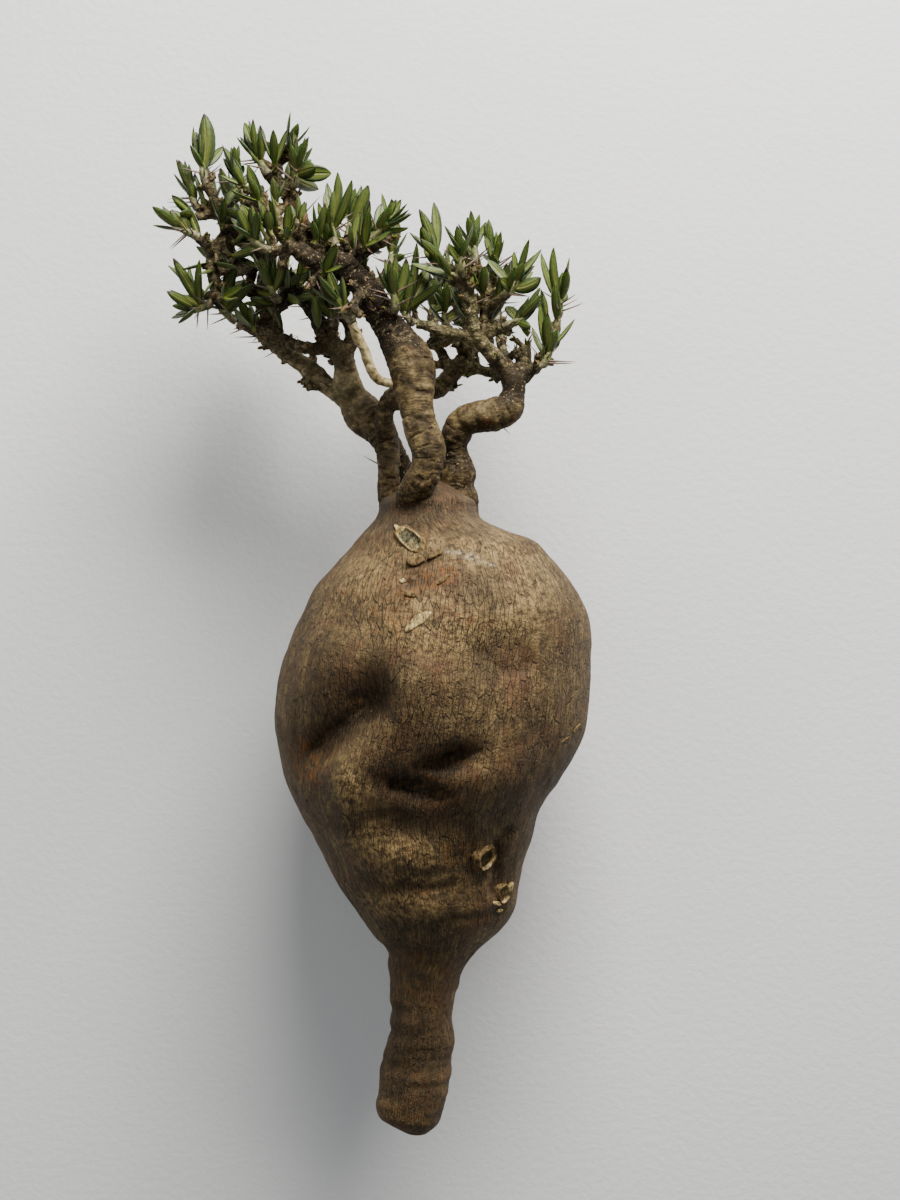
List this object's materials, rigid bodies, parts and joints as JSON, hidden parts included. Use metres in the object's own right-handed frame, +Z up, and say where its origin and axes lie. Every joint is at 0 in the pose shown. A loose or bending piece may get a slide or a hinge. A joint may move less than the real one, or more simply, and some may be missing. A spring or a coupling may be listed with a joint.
{
  "type": "bare-root pachypodium bispinosum plant",
  "caption": "Bare-root caudex plant lying on its back: a swollen root with a forked neck of gnarled spiny stems and tufts of narrow leaves.",
  "frame": {"origin": "middle of the flat spot under the swollen root, on the surface that the plant lies on", "axes": "+Y the way the plant grows, from the taproot to the crown; +Z up; +X to the right seen from above"},
  "size_m": [0.1816, 0.4255, 0.1241],
  "materials": {
    "caudex_bark": "rough bark",
    "stem_bark": "rough bark",
    "pale_bark": "matte pale bark",
    "leaf": "satin leaf"
  },
  "bodies": {
    "root": {"caudex": "caudex_bark", "front_stem": "stem_bark", "left_stem": "stem_bark", "right_stem": "stem_bark", "pale_twig": "pale_bark", "front_tuft_01": "leaf", "front_tuft_02": "leaf", "front_tuft_03": "leaf", "front_tuft_04": "leaf", "front_tuft_05": "leaf", "front_tuft_06": "leaf", "front_tuft_07": "leaf", "front_tuft_08": "leaf", "front_tuft_09": "leaf", "left_tuft_10": "leaf", "left_tuft_11": "leaf", "left_tuft_12": "leaf", "left_tuft_13": "leaf", "left_tuft_14": "leaf", "left_tuft_15": "leaf", "left_tuft_16": "leaf", "left_tuft_17": "leaf", "left_tuft_18": "leaf", "left_tuft_19": "leaf", "left_tuft_20": "leaf", "left_tuft_21": "leaf", "left_tuft_22": "leaf", "left_tuft_23": "leaf", "left_tuft_24": "leaf", "left_tuft_25": "leaf", "right_tuft_26": "leaf", "right_tuft_27": "leaf", "right_tuft_28": "leaf", "right_tuft_29": "leaf", "right_tuft_30": "leaf", "right_tuft_31": "leaf", "right_tuft_32": "leaf", "right_tuft_33": "leaf", "right_tuft_34": "leaf", "right_tuft_35": "leaf", "right_tuft_36": "leaf", "right_tuft_37": "leaf", "twig_tuft_38": "leaf"}
  },
  "joints": []
}
